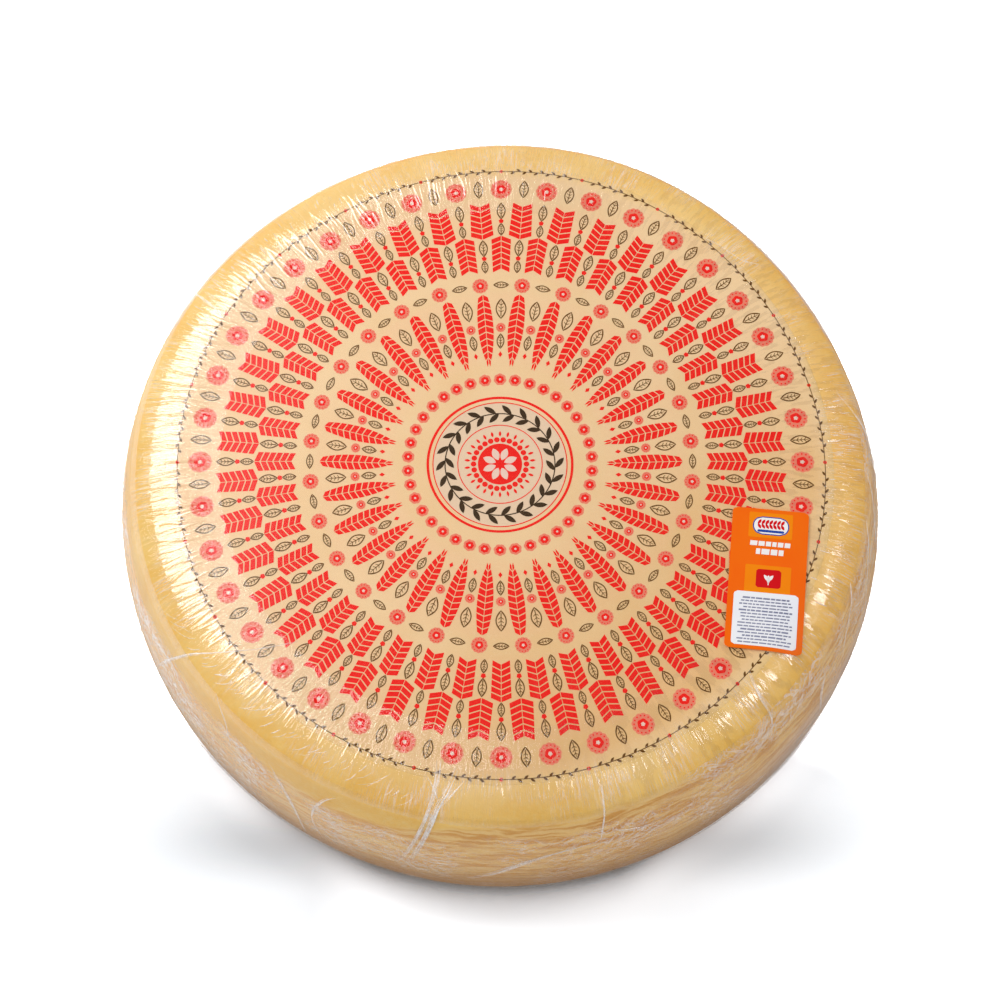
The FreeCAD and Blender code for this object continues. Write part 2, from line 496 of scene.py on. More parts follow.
def shoulder_film_material():
    """Drawn tight, with fine white stretch marks that run out towards the rim."""
    n = material_nodes("film_shoulder")
    x, y, z, radius, cosine, sine = n.place()
    veil = 0.0
    for turns, rows, seed, wide in ((95, 22, 0.0, 0.030), (150, 34, 5.2, 0.026)):
        level = n.times_plus(radius, rows, n.times_plus(z, rows, seed))
        lines = crease_lines(n, n.wrapped(cosine, sine, turns, level), wide, 0.7)[1]
        veil = n.larger(veil, lines)
    patch = n.step(n.noise(n.spot(), 19, 3), 0.42, 0.62, 0.05, 1.0)
    extent = n.times(n.step(radius, 0.318, 0.350), n.step(radius, 0.384, 0.366))
    cover = n.times(n.times(veil, patch), n.times(extent, 0.42))

    # On the right the film is duller, and shines in short dashes only; they are broader in front.
    short, broad = (
        n.step(n.noise(n.wrapped(cosine, sine, turns, n.times(radius, rows)), 1, 2), 0.50, 0.58)
        for turns, rows in ((64, 44), (30, 34))
    )
    front = n.step(y, -0.02, -0.14)
    dash = n.plus(n.times(short, n.minus(1.0, front)), n.times(broad, front))
    right = n.step(x, 0.02, 0.2)
    dull = n.times_plus(dash, 0.11, 0.012)
    mirror = n.plus(n.times(n.minus(1.0, right), 0.11), n.times(right, dull))
    rough = n.plus(n.step(radius, 0.284, 0.322, 0.14, 0.04), n.times(right, 0.05))
    bump = n.bump(veil, 0.2, 0.4 * MM)
    return film_shader(n, cover, (1.0, 0.97, 0.92), bump, mirror, slanting=0.55, roughness=rough)


# Sets of threads in the side's web: how many cells round the wheel and up a metre, how much they sway,
# where their noise starts and how wide the threads are.
SIDE_THREADS = (
    (9, 140, 0.12, 0.0, 0.028),
    (14, 190, -0.18, 7.3, 0.025),
    (34, 120, 0.25, 3.1, 0.022),
)


def side_film_material():
    """Many layers drawn round the wheel: a web of whitish creases, most of them nearly level."""
    n = material_nodes("film_side")
    x, y, z, _, cosine, sine = n.place()
    drift = n.noise(n.vector(cosine, sine, z), 4, 2)
    veil = 0.0
    for turns, rows, sway, seed, wide in SIDE_THREADS:
        level = n.plus(n.times(n.times_plus(drift, sway, z), rows), seed)
        threads, lines = crease_lines(n, n.wrapped(cosine, sine, turns, level), wide, 0.6)
        veil = n.larger(veil, lines)
    patch = n.step(n.noise(n.spot(), 13, 3), 0.40, 0.60, 0.15, 1.0)
    start = n.plus(lower_left(n, x, y), n.step(y, -0.300, -0.385, 0.0, 0.024))
    top = n.step(n.plus(start, n.times_plus(drift, 0.05, z)), 0.222, 0.206)
    # Less haze toward the foot is painted shade; the extra haze on the left is a painted sheen.
    foot = n.step(z, 0.03, 0.13, 0.1, 1.0)
    cover = n.times_plus(n.times(veil, patch), n.step(x, -0.30, -0.05, 0.72, 0.55), 0.03)
    left = n.step(n.times_plus(y, -0.4, x), 0.1, -0.25, 0.0, 0.16)
    cover = n.plus(n.times(cover, n.times(top, foot)), n.times(left, foot))

    # Behind, at the wheel's widest, a narrow milky fringe: a painted reflection of the film seen at a slant.
    # Its height
    # follows the bearing: where it begins, where it is full, and then the height at which it has gone.
    full = n.step(sine, 0.0, 0.45, 0.110, 0.1905)
    begins = n.step(sine, 0.0, 0.45, 0.146, 0.1972)
    down = n.ratio(n.minus(begins, z), n.minus(begins, full))
    ends = n.step(n.times_plus(drift, 0.05, n.minus(full, z)), 0.065, 0.018)
    fringe = n.times(n.step(down, 0.0, 1.0, 0.0, 0.66), ends)
    blotch = n.noise(n.vector(x, y, n.times(z, 4.0)), 22, 3)
    fringe = n.times(fringe, n.step(blotch, 0.3, 0.6, 0.6, 1.1))
    fringe = n.times(fringe, n.step(n.times_plus(drift, 0.3, sine), -0.15, 0.25))
    # A weaker painted reflection, as haze, lies low on the right.
    low = n.times(n.step(n.times_plus(y, -0.2, x), 0.26, 0.38), n.step(z, 0.15, 0.11, 0.0, 0.3))
    fringe = n.larger(fringe, low)
    haze = n.mix(fringe, (1.0, 0.95, 0.91), (0.97, 0.95, 1.0))
    bump = n.bump(threads, 0.3, 1.0 * MM)
    return film_shader(n, n.larger(cover, fringe), haze, bump, mirror=0.035, slanting=0.4, roughness=0.14)


def seam_film_material():
    """Where the film is folded over itself: streaks of white along the fold, which on the short glint folds
    is a painted highlight.
    """
    n = material_nodes("film_seam")
    x, y, z = n.xyz()
    fine = n.noise(n.vector(x, y, n.times(z, 0.5)), 300, 3, 0.6)
    patch = n.noise(n.spot(), 60, 2)
    veil = n.times(n.step(fine, 0.3, 0.6, 0.4, 0.9), n.step(patch, 0.35, 0.65, 0.4, 0.8))
    bump = n.bump(fine, 0.2, 0.4 * MM)
    return film_shader(n, veil, (1.0, 0.97, 0.96), bump, mirror=0.04, slanting=0.4, roughness=0.1)


# ======== The cheese


def build_cheese(material):
    """The rind, rough beyond the sheet."""
    rows = np.concatenate(
        [
            np.linspace(0, FACE_END, 46),
            np.linspace(FACE_END, EDGE_END, 36)[1:],
            np.linspace(EDGE_END, SIDE_END, 70)[1:],
            np.linspace(SIDE_END, HEEL_END, 18)[1:],
            np.linspace(HEEL_END, BASE_END, 16)[1:],
        ]
    )

    def lift(s, b):
        rough = ripple(b, s / BASE_END, 150, 60, 3) + 0.5 * ripple(b, s / BASE_END, 420, 170, 4)
        extent = smooth(s, FACE_END, EDGE_END) * (1 - smooth(s, SIDE_END, HEEL_END))
        return RIND_LIFT + 0.22 * MM * rough * extent

    piece = mesh_piece("cheese", *turned_grid(rows, 540, lift), material, "wrapped_rind")
    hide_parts("cheese_wheel")


def build_sheet(material):
    """The printed sheet, its edge pressed down onto the rind."""
    edge = np.interp(SHEET_RADIUS, OUTLINE[1][TOP_ROWS], OUTLINE[0][TOP_ROWS])
    rows = np.concatenate([np.linspace(0, FACE_END, 50), np.linspace(FACE_END, edge, 9)[1:]])

    def lift(s, b):
        return SHEET_LIFT - 0.9 * MM * smooth(s, edge - 7 * MM, edge)

    piece = mesh_piece("printed_sheet", *turned_grid(rows, 450, lift), material, "printed_sheet")
    thickened(piece, SHEET_THICKNESS)
    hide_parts("top_sheet")


# ======== The film

FILM_START = 286 * MM  # where the flat film of the face gives way to the creased film of the shoulder
SIDE_START = 376 * MM  # where the many layers drawn round the side begin


def build_face_film(material):
    """Drawn flat over the face, a little slack toward its edge."""
    rows = np.linspace(0, FILM_START, 44)

    def lift(s, b):
        slack = ripple(b, s / FILM_START, 90, 4, 21) * smooth(s, 0.18, 0.3)
        return FILM_LIFT + 0.05 * MM * slack

    mesh_piece("film_face", *turned_grid(rows, 720, lift), material, "wrapped_rind")


def folds(distance, bearing, across, count, sway, half_width, seed):
    """Heights from 0 to 1 of thin folds that run out over the shoulder, a given count of them round the
    wheel. Each wavers by sway times their spacing and is stronger and weaker along its way."""
    rng = np.random.default_rng(seed)
    swings = rng.uniform(-1, 1, (count, 8)) * sway
    heights = rng.uniform(-0.3, 1.3, (count, 8))
    v = np.clip(across, 0, 1) * 4 + 1
    iv = np.minimum(np.floor(v).astype(int), 5)
    weights = spline_weights(v - iv)
    turn = (bearing / TURN) % 1 * count
    pitch = TURN * along(distance)[0] / count
    tallest = 0.0
    for step in (-1, 0, 1, 2):
        fold = np.floor(turn).astype(int) + step
        swing = sum(weights[q] * swings[fold % count, iv + q - 1] for q in range(4))
        height = sum(weights[q] * heights[fold % count, iv + q - 1] for q in range(4))
        gap = np.abs(turn - fold - 1.5 * swing) * pitch
        tall = np.clip(1.5 * height - 0.25, 0, 1)
        tallest = np.maximum(tallest, tall * np.clip(1 - gap / half_width, 0, 1))
    return tallest


def build_shoulder_film(material):
    """The film is drawn tight over the shoulder in flat panes, with thin folds standing up between them
    that run out towards the rim."""
    end = SIDE_START + 8 * MM
    rows = np.linspace(FILM_START, end, 31)

    def lift(s, b):
        across = (s - FILM_START) / (end - FILM_START)
        late = 34 * MM * np.maximum(smooth(-np.sin(b), 0.1, 0.75), 0.8 * smooth(np.cos(b), 0.1, 0.7))
        grow = smooth(s - late, FILM_START + 2 * MM, 324 * MM)
        panes = ripple(b, across, 120, 3, 31)
        tilts = ripple(b, across, 230, 5, 35)
        broad = folds(s, b, across, 390, 1.1, 1.35 * MM, 32)
        fine = folds(s, b, across, 610, 1.3, 0.95 * MM, 33)
        patchy = 0.5 + 0.5 * smooth(ripple(b, across, 40, 3, 34), -0.4, 0.5)
        return FILM_LIFT + grow * MM * (0.3 * panes + 0.2 * tilts + 0.95 * broad + 0.45 * fine * patchy)

    mesh_piece("film_shoulder", *turned_grid(rows, 3200, lift), material, "wrapped_rind")


def build_side_film(material):
    """The layers round the side: creases that run round the wheel, wavering up and down a little."""
    rows = np.concatenate([np.linspace(SIDE_START, SIDE_END, 132), np.linspace(SIDE_END, HEEL_END, 24)[1:]])
    rows = np.concatenate([rows, np.linspace(HEEL_END, BASE_END, 10)[1:]])

    def lift(s, b):
        across = (s - SIDE_START) / (HEEL_END - SIDE_START)
        grow = smooth(s, SIDE_START, SIDE_START + 14 * MM) * (1 - smooth(s, SIDE_END, HEEL_END - 6 * MM))
        level = ripple(b, across, 60, 56, 41)
        creases = ridge(ripple(b, across, 44, 34, 42), 0.14) + ridge(ripple(b, across, 30, 50, 43), 0.12)
        base = FILM_LIFT * (1 - smooth(s, SIDE_END, HEEL_END)) + 0.02 * MM
        raised = 0.25 * MM * smooth(s, SIDE_START, SIDE_START + 3 * MM) * grow
        return base + grow * (0.12 * MM * level + 0.38 * MM * creases) + raised

    mesh_piece("film_side", *turned_grid(rows, 540, lift), material, "wrapped_rind")


# Folds in the film. Each is a bundle of threads: how many, how far they spread in mm, and its stations as
# (distance along the outline in mm, bearing in degrees).
SEAMS = (
    (11, 7.0, ((322, 262.8), (350, 261.6), (372, 260.3), (430, 258.4), (510, 255.4))),
    (9, 5.5, ((320, 259.4), (345, 259.6), (378, 259.0), (440, 256.9), (512, 254.0))),
    (3, 2.5, ((340, 258.0), (356, 259.9), (368, 260.7))),
    (7, 5.0, ((277, 224.4), (345, 216.5), (378, 212.8), (424, 209.8), (470, 207.6))),
    (3, 4.0, ((374, 220.3), (392, 224.2), (424, 226.4))),
    (12, 13.0, ((506, 264.6), (480, 268.8), (456, 272.6), (438, 277.2), (428, 283.5))),
    (3, 3.0, ((350, 286.4), (372, 285.9), (413, 285.0), (450, 284.6))),
    (4, 9.0, ((405, 284.6), (418, 287.5), (426, 291.0), (432, 296.0))),
    (3, 2.5, ((334, 50.8), (340, 47.5), (346, 42.5), (358, 40.2), (374, 38.8))),
    (4, 5.0, ((330, 318.0), (356, 316.2), (392, 315.0), (440, 312.2))),
    (5, 7.0, ((392, 232.0), (430, 236.5), (470, 239.0), (520, 240.4))),
    (4, 5.0, ((400, 196.0), (430, 199.5), (468, 201.0), (520, 201.5))),
    (4, 5.0, ((384, 246.0), (410, 243.0), (450, 241.5), (500, 243.0))),
    (4, 6.0, ((388, 330.0), (430, 326.0), (480, 325.0))),
    (3, 4.0, ((330, 150.0), (360, 148.8), (400, 147.5))),
    (3, 2.5, ((352, 16.0), (366, 11.5), (382, 7.6), (402, 4.0), (440, 0.4))),
    (3, 4.0, ((374, 10.4), (390, 5.6), (412, 1.2), (446, -2.4))),
    (4, 5.0, ((372, 1.0), (388, -3.6), (410, -8.0), (450, -11.5))),
    (4, 5.0, ((376, -8.0), (392, -12.4), (414, -16.4), (452, -19.6))),
    (3, 4.0, ((372, -18.5), (388, -22.0), (414, -26.4), (450, -29.0))),
    (4, 6.0, ((380, 26.0), (392, 21.0), (408, 16.8), (430, 13.0))),
)


# Sets of short bright folds, their white a painted highlight: how many, from which bearing to which,
# their nearest distance along the outline in mm and how much they lean, in degrees a mm.
GLINTS = ((46, 207, 258, 336, -0.17), (26, 112, 156, 334, -0.03), (18, -36, 22, 332, 0.02))


def glints():
    """Short folds of one thread each, white as a painted highlight, as stations: they run out over the
    shoulder and bend as they go.
    """
    rng = np.random.default_rng(9)
    made = [(2, 1.5, ((332, 264.6), (350, 262.7), (368, 260.7)))]
    for count, first, last, nearest, lean in GLINTS:
        for k in range(count):
            bearing = first + (last - first) * (k + rng.uniform(-0.4, 0.4)) / count
            start = nearest + rng.uniform(0, 24)
            reach = rng.uniform(8, 22)
            turn = lean * reach * rng.uniform(0.6, 1.4)
            bend = (start + 0.55 * reach, bearing + 0.35 * turn)
            made.append((1, 0.5, ((start, bearing), bend, (start + reach, bearing + turn))))
    return made


def build_seams(material):
    """All the folds, each thread a low ridge of five rows of points that tapers at both ends."""
    points = []
    faces = []
    profile = ((-1, -0.2), (-0.5, 0.7), (0, 1), (0.5, 0.7), (1, -0.2))
    rng = np.random.default_rng(77)
    for threads, spread, stations in (*SEAMS, *glints()):
        s, b = np.array(stations, float).T
        for _ in range(threads):
            ends = np.sort(rng.uniform(0, 1, 2)) * 0.5 + (0, 0.5)
            count = max(int(np.ptp(s) * (ends[1] - ends[0]) / 1.5), 12)
            t = (len(s) - 1) * np.linspace(*ends, count)
            path = np.stack([curve(s * MM, t), curve(np.radians(b), t)])
            taper = np.sin(np.pi * np.linspace(0.02, 0.98, count)) ** 0.5
            wander = np.convolve(rng.normal(0, 1, count + 30), np.ones(31) / 31, "valid") * 1.6
            aside = rng.uniform(-0.5, 0.5) * spread
            offset = (aside * np.linspace(1, rng.uniform(-0.4, 1.2), count) + wander) * MM
            wide = rng.uniform(0.35, 0.85) * MM
            tall = rng.uniform(0.2, 0.5) * MM
            radius = along(path[0])[0]
            first = len(points)
            for u, v in profile:
                side = (u * wide * taper + offset) / radius
                points += on_wheel(path[0], path[1] + side, FILM_LIFT + 0.3 * MM + v * tall * taper).tolist()
            for k in range(len(profile) - 1):
                for i in range(count - 1):
                    a = first + k * count + i
                    faces.append((a, a + 1, a + count + 1, a + count))
    mesh_piece("film_seams", points, faces, material, "wrapped_rind")


def curve(values, t):
    """A smooth curve through the values, at the places t counted in stations."""
    padded = np.concatenate([[2 * values[0] - values[1]], values, [2 * values[-1] - values[-2]]])
    i = np.minimum(np.floor(t).astype(int), len(values) - 2)
    u = t - i
    p0, p1, p2, p3 = (padded[i + k] for k in range(4))
    return p1 + u * ((p2 - p0) + u * ((2 * p0 - 5 * p1 + 4 * p2 - p3) + u * (3 * (p1 - p2) + p3 - p0))) / 2


# ======== The print


class Print:
    """Flat shapes laid on the wheel. Each motif is drawn about (0, 0) in its own axes, first outward from
    the wheel's middle and then round it, and set down at a radius and a bearing."""

    def __init__(self):
        self.points = []
        self.faces = []

    def polygon(self, plan):
        first = len(self.points)
        self.points += [tuple(p) for p in plan]
        self.faces.append(tuple(range(first, first + len(plan))))

    def lay(self, plan, radius, bearing):
        self.polygon(set_down(plan, radius, bearing))

    def strip(self, left, right, closed=False):
        """A band between two rows of points."""
        first = len(self.points)
        count = len(left)
        self.points += [tuple(p) for p in left] + [tuple(p) for p in right]
        for i in range(count if closed else count - 1):
            j = (i + 1) % count
            self.faces.append((first + i, first + j, first + count + j, first + count + i))

    def build(self, name, material, slot, lift, thickness, to_plan):
        """Makes the piece; to_plan puts the shapes' points in plan."""
        points = to_plan(np.array(self.points))
        solid = over(points[:, 0], points[:, 1], lift)
        faces = [facing_up(face, points) for face in self.faces]
        thickened(mesh_piece(name, solid, faces, material, slot, smooth_faces=False), thickness)


def printed_place(points):
    """Where the print really lies: the sheet is drawn a little out of round, and its middle forwards."""
    x, y = points[:, :2].T
    radius = np.hypot(x, y)
    outer = smooth(radius, 90 * MM, 190 * MM)
    narrow = 1 - 0.019 * outer + 0.007 * smooth(radius, 300 * MM, 334 * MM)
    middle = -PRINT_DRIFT * (1 - smooth(radius, 60 * MM, 210 * MM))
    return np.stack([x * narrow + 1.2 * MM * outer, y * 1.003 + middle], -1)


def facing_up(face, points):
    x, y = points[list(face)].T[:2]
    area = np.dot(x, np.roll(y, -1)) - np.dot(y, np.roll(x, -1))
    return face if area > 0 else face[::-1]


def turned(points, turn):
    c, s = math.cos(turn), math.sin(turn)
    return [(u * c - v * s, u * s + v * c) for u, v in points]


def around(count, shift=0.0):
    """Bearings spread evenly round the wheel, from a share of their spacing on."""
    return [TURN * (k + shift) / count for k in range(count)]


def set_down(points, radius, bearing):
    """A motif's own points as plan points, with its middle at this radius and bearing."""
    return turned([(radius + u, v) for u, v in points], bearing)


def circle(radius, count, centre=(0.0, 0.0)):
    return [
        (centre[0] + radius * math.cos(TURN * i / count), centre[1] + radius * math.sin(TURN * i / count))
        for i in range(count)
    ]


def leaf_side(length, width, count):
    """Half widths along a leaf that is pointed at both ends."""
    steps = [i / count for i in range(count + 1)]
    return [(length * (t - 0.5), width / 2 * math.sin(math.pi * t) ** 0.8) for t in steps]


def chevron_bar(ink, radius, bearing, length, half_width, pieces, gap, point, outward=1):
    """A bar of stacked chevrons. half_width is a function of the place along it, from -0.5 to 0.5."""
    pitch = length / pieces
    spine = 0.35 * MM
    for k in range(pieces):
        start = -length / 2 + k * pitch + gap / 2
        end = start + pitch - gap
        for side in (1, -1):
            wide = [half_width(u / length) for u in (start, end)]
            plan = [
                (outward * (start + point), side * spine),
                (outward * (end + point), side * spine),
                (outward * end, side * wide[1]),
                (outward * start, side * wide[0]),
            ]
            ink.lay(plan, radius, bearing)


def leaf_outline(ink, radius, bearing, length, width, line, turn=0.0):
    """A leaf drawn in outline, with its midrib and side veins."""

    def down(points):
        return set_down(turned(points, turn), radius, bearing)

    side = leaf_side(length, width, 10)
    for sign in (1, -1):
        outer = [(u, sign * v) for u, v in side]
        inner = [(u * (1 - 2 * line / length), sign * max(v - line, 0)) for u, v in side]
        ink.strip(down(outer), down(inner))
    rib = length * 0.36
    ink.polygon(down([(-rib, -line * 0.45), (rib, -line * 0.2), (rib, line * 0.2), (-rib, line * 0.45)]))
    reach = width * 0.24
    half = line * 0.35
    for k in (-1, 0, 1):
        for sign in (1, -1):
            root = k * length * 0.17
            tip, side = root + reach * 0.8, sign * reach
            plan = [(root - half, 0), (root + half, 0), (tip + half, side), (tip - half, side)]
            ink.polygon(down(plan))


def diamond(ink, radius, bearing, length, width):
    plan = [(length / 2, 0), (0, width / 2), (-length / 2, 0), (0, -width / 2)]
    ink.lay(plan, radius, bearing)


def ring(ink, radius, width, count=180):
    ink.strip(circle(radius + width / 2, count), circle(radius - width / 2, count), closed=True)


def build_print(inks):
    """The whole print: rings of motifs, from the middle outwards, each ink a piece of its own."""
    red, pink, pale, dark, olive = (Print() for _ in range(5))

    # The middle: a flower on a scalloped disc, a wreath of leaves and plain rings.
    red.polygon(circle(22.5 * MM, 72))
    for bearing in around(8, 0.5):
        pale.lay(leaf_loop(14 * MM, 7.4 * MM), 11.5 * MM, bearing)
    for bearing in around(26):
        red.lay(circle(2.9 * MM, 12), 27 * MM, bearing)
        red.lay(leaf_loop(6 * MM, 2.6 * MM), 33.5 * MM, bearing + TURN / 52)
    ring(red, 43 * MM, 0.9 * MM, 120)
    for bearing in around(22):
        for side in (1, -1):
            plan = turned_leaf(14.5 * MM, 5.4 * MM, math.radians(90 - side * 40))
            dark.lay(plan, (56 + side * 4.6) * MM, bearing + side * math.radians(1.5))
    ring(dark, 56 * MM, 1.1 * MM, 120)
    ring(red, 68.3 * MM, 1.0 * MM, 160)
    ring(red, 73.6 * MM, 2.6 * MM, 160)

    # Small flowers round the middle.
    for bearing in around(38, 0.5):
        pink.lay(scalloped(6.6 * MM, 7, 0.1), 94 * MM, bearing)
        red.lay(scalloped(4.3 * MM, 7, 0.16), 94 * MM, bearing)
        pale.lay(circle(1.2 * MM, 8), 94 * MM, bearing)

    # Long pointed petals made of chevrons, with leaves and flowers between each two.
    for bearing in around(30):
        chevron_bar(red, 147 * MM, bearing, 78 * MM, petal_width, 11, 1.3 * MM, 3.2 * MM)
        between = bearing + TURN / 60
        leaf_outline(olive, 172 * MM, between, 23 * MM, 11.5 * MM, 1.15 * MM)
        medallion(red, pink, pale, 151 * MM, between, 5.2 * MM)
        leaf_outline(olive, 136 * MM, between, 17 * MM, 8.2 * MM, 1.05 * MM)
        diamond(red, 121.5 * MM, between, 6.4 * MM, 4.2 * MM)

    # A garland between the two broad rings.
    for k, bearing in enumerate(around(56)):
        if k % 2:
            medallion(red, pink, pale, 199 * MM, bearing, 8.6 * MM)
        else:
            leaf_outline(olive, 199 * MM, bearing, 17 * MM, 7.6 * MM, 1.0 * MM, math.pi / 2)

    # Two rings of short bars, set like bricks, with leaves and dots in the gaps.
    for row, (middle, wide) in enumerate(((233, 9.6), (277, 11.2))):

        def bar_width(t, wide=wide):
            return (wide + 1.8 * t) * MM

        for bearing in around(40, 0.5 * row):
            outward = 1 - 2 * row
            chevron_bar(red, middle * MM, bearing, 40 * MM, bar_width, 6, 1.3 * MM, 4.4 * MM, outward)
            between = bearing + TURN / 80
            leaf_outline(olive, (middle + 9.5) * MM, between, 20 * MM, 9.6 * MM, 1.15 * MM)
            leaf_outline(olive, (middle - 12.5) * MM, between, 15 * MM, 7.6 * MM, 1.0 * MM)
            red.lay(scalloped(2.7 * MM, 5, 0.2), (middle - 2.6) * MM, between)

    # Large flowers and upright leaves near the rim.
    for bearing in around(40):
        medallion(red, pink, pale, 312.5 * MM, bearing, 11.6 * MM)
        leaf_outline(olive, 313 * MM, bearing + TURN / 80, 21 * MM, 10.4 * MM, 1.15 * MM)

    # The border: a fine stem with small leaves and red berries.
    ring(olive, 334.5 * MM, 0.8 * MM, 720)
    for k, bearing in enumerate(around(336)):
        if k % 14 == 0:
            red.lay(circle(2.0 * MM, 10), 334.5 * MM, bearing)
        elif k % 14 not in (1, 13):
            side = 1 if k % 2 else -1
            plan = turned_leaf(5.6 * MM, 2.3 * MM, math.radians(90 - side * 34))
            olive.lay(plan, (334.5 + 1.7 * side) * MM, bearing)

    prints = {"pink": pink, "red": red, "dark": dark, "olive": olive, "pale": pale}
    for name, ink in prints.items():
        ink.build("print_" + name, inks[name], "printed_sheet", INK_LIFTS[name], INK_THICKNESS, printed_place)


def petal_width(t):
    """Half the width of a long petal, blunt outside and pointed inside."""
    return (1.6 + 6.6 * max(math.cos(math.pi * (t - 0.1) * 0.94), 0) ** 0.7) * MM


def scalloped(radius, lobes, depth, count=28):
    """A round outline with shallow lobes."""
    angles = [TURN * i / count for i in range(count)]
    sizes = [radius * (1 - depth * (1 - abs(math.cos(lobes * a / 2)))) for a in angles]
    return [(r * math.cos(a), r * math.sin(a)) for r, a in zip(sizes, angles)]


def medallion(red, pink, pale, radius, bearing, size):
    """A flower on a paler scalloped disc that is dotted round with red."""
    pink.lay(scalloped(size, 12, 0.08, 48), radius, bearing)
    red.lay(scalloped(size * 0.5, 5, 0.14), radius, bearing)
    pale.lay(scalloped(size * 0.2, 5, 0.3, 20), radius, bearing)
    for k in range(14):
        angle = TURN * (k + 0.5) / 14
        spot = (size * 0.76 * math.cos(angle), size * 0.76 * math.sin(angle))
        red.lay(circle(size * 0.075, 6, spot), radius, bearing)


def leaf_loop(length, width, count=8):
    """A pointed leaf as a closed outline."""
    side = leaf_side(length, width, count)
    return side + [(u, -v) for u, v in side[-2:0:-1]]


def turned_leaf(length, width, turn):
    return turned(leaf_loop(length, width, 6), turn)


# ======== The card


def card_to_plan(points):
    """The card's own axes, across it and up it from its middle, as plan points."""
    c, s = math.cos(CARD_TURN), math.sin(CARD_TURN)
    reach = WHEEL_RADIUS - CARD_SET_IN
    x = reach * math.cos(CARD_BEARING) + points[:, 0] * c - points[:, 1] * s
    y = reach * math.sin(CARD_BEARING) + points[:, 0] * s + points[:, 1] * c
    return np.stack([x, y], -1)


def rounded_grid(width, length, corner, up, step=2.5 * MM):
    """Points and quads that fill a rounded rectangle with its middle this far up the card: straight rows,
    drawn in at the corners and closer together at the ends."""
    rows = max(int(length / step), 6)
    columns = max(int(width / step), 6)
    even = np.linspace(-1, 1, rows + 1)
    v = (np.sin(even * math.pi / 2) * 0.25 + even * 0.75) * length / 2
    into = np.clip(corner - (length / 2 - np.abs(v)), 0, corner)
    half = width / 2 - corner + np.sqrt(corner**2 - into**2)
    u = np.linspace(-1, 1, columns + 1)
    points = np.stack([half[:, None] * u, np.repeat(v[:, None], columns + 1, 1) + up], -1).reshape(-1, 2)
    grid = np.arange(len(points)).reshape(rows + 1, columns + 1)
    faces = np.stack([grid[:-1, :-1], grid[:-1, 1:], grid[1:, 1:], grid[1:, :-1]], -1).reshape(-1, 4)
    return points, faces.tolist()


def stuck_piece(name, node, material, slot, shape, lift, thickness):
    points, faces = shape
    plan = card_to_plan(points)
    piece = mesh_piece(name, over(plan[:, 0], plan[:, 1], lift), faces, material, slot, smooth_faces=False)
    thickened(piece, thickness)
    if node:
        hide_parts(node)


def build_card(materials):
    info_width = CARD_WIDTH - 2 * INFO_SIDE_MARGIN
    info_middle = INFO_FOOT_MARGIN + INFO_LENGTH / 2 - CARD_LENGTH / 2
    shape = rounded_grid(CARD_WIDTH, CARD_LENGTH, CARD_CORNER, 0)
    stuck_piece("card", "stuck_card", materials["orange"], "orange_card", shape, CARD_LIFT, CARD_THICKNESS)
    shape = rounded_grid(info_width, INFO_LENGTH, INFO_CORNER, info_middle)
    name = "info_label"
    stuck_piece(name, name, materials["white"], "white_label", shape, INFO_LIFT, INFO_THICKNESS)

    def block(name, key, width, length, corner, across, up, lift):
        points, faces = rounded_grid(width * MM, length * MM, corner * MM, up * MM, 2 * MM)
        shape = (points + (across * MM, 0), faces)
        height = CARD_INK_LIFT + lift * MM
        stuck_piece(name, None, materials[key], "orange_card", shape, height, CARD_INK_THICKNESS)

    def drawn(name, key, shapes, lift):
        height = CARD_INK_LIFT + lift * MM
        shapes.build(name, materials[key], "orange_card", height, CARD_INK_THICKNESS, card_to_plan)

    # Paler panels above and below a blank name plate, and a plain badge with a leaf on it.
    block("card_panel_top", "amber", 44, 27, 0.5, 0.5, 57.5, 0)
    block("card_panel_foot", "amber", 46, 32, 0.5, 0.5, -1.6, 0)
    block("plate_rim", "blue", 36.5, 19.5, 9.2, 0.8, 57, 0.08)
    block("plate", "plain", 34.3, 17.3, 8.2, 0.8, 57, 0.16)
    block("plate_band", "blue", 27, 2.6, 1.2, 0.8, 51.2, 0.24)
    block("badge", "crimson", 25, 19.5, 2.2, 1.2, 0.4, 0.08)

    leaf = Print()
    for turn, reach in ((90, 2.0), (50, 4.2), (130, 4.2)):
        away = math.radians(turn)
        across = (1.2 + math.cos(away) * reach * 0.7) * MM
        up = (-2.0 + math.sin(away) * reach * 0.9) * MM
        blade = turned(leaf_loop(8.84 * MM, 3.6 * MM), away)
        leaf.polygon([(across + u, up + v) for u, v in blade])
    leaf.polygon([(0.7 * MM, -6.4 * MM), (1.7 * MM, -6.4 * MM), (1.5 * MM, -1 * MM), (0.9 * MM, -1 * MM)])
    drawn("badge_leaf", "plain", leaf, 0.16)

    ears = Print()
    for k in range(7):
        across = (0.8 + (k - 3) * 3.9) * MM
        for side in (1, -1):
            plan = turned_leaf(6.4 * MM, 2.9 * MM, math.radians(side * 58))
            ears.polygon([(across + u, 58.6 * MM + side * 2.3 * MM + v) for u, v in plan])
    drawn("plate_leaves", "crimson", ears, 0.24)

    # Rows of bars where the words are, on the card and on the white label.
    bars = Print()
    rows_of_bars(bars, np.random.default_rng(5), [(37.6, 5.0), (29.0, 6.0)], 0.8, 43, (4, 8), 1.3)
    drawn("card_bars", "plain", bars, 0.08)
    lines = Print()
    rows = [(-21.2 - 3.35 * k, 1.7 if k in (0, 4, 10, 12) else 1.35) for k in range(15)]
    rows_of_bars(lines, np.random.default_rng(8), rows, 0, 57, (2.2, 7.5), 0.9)
    slate = materials["slate"]
    lines.build("info_lines", slate, "white_label", INFO_INK_LIFT, INFO_INK_THICKNESS, card_to_plan)


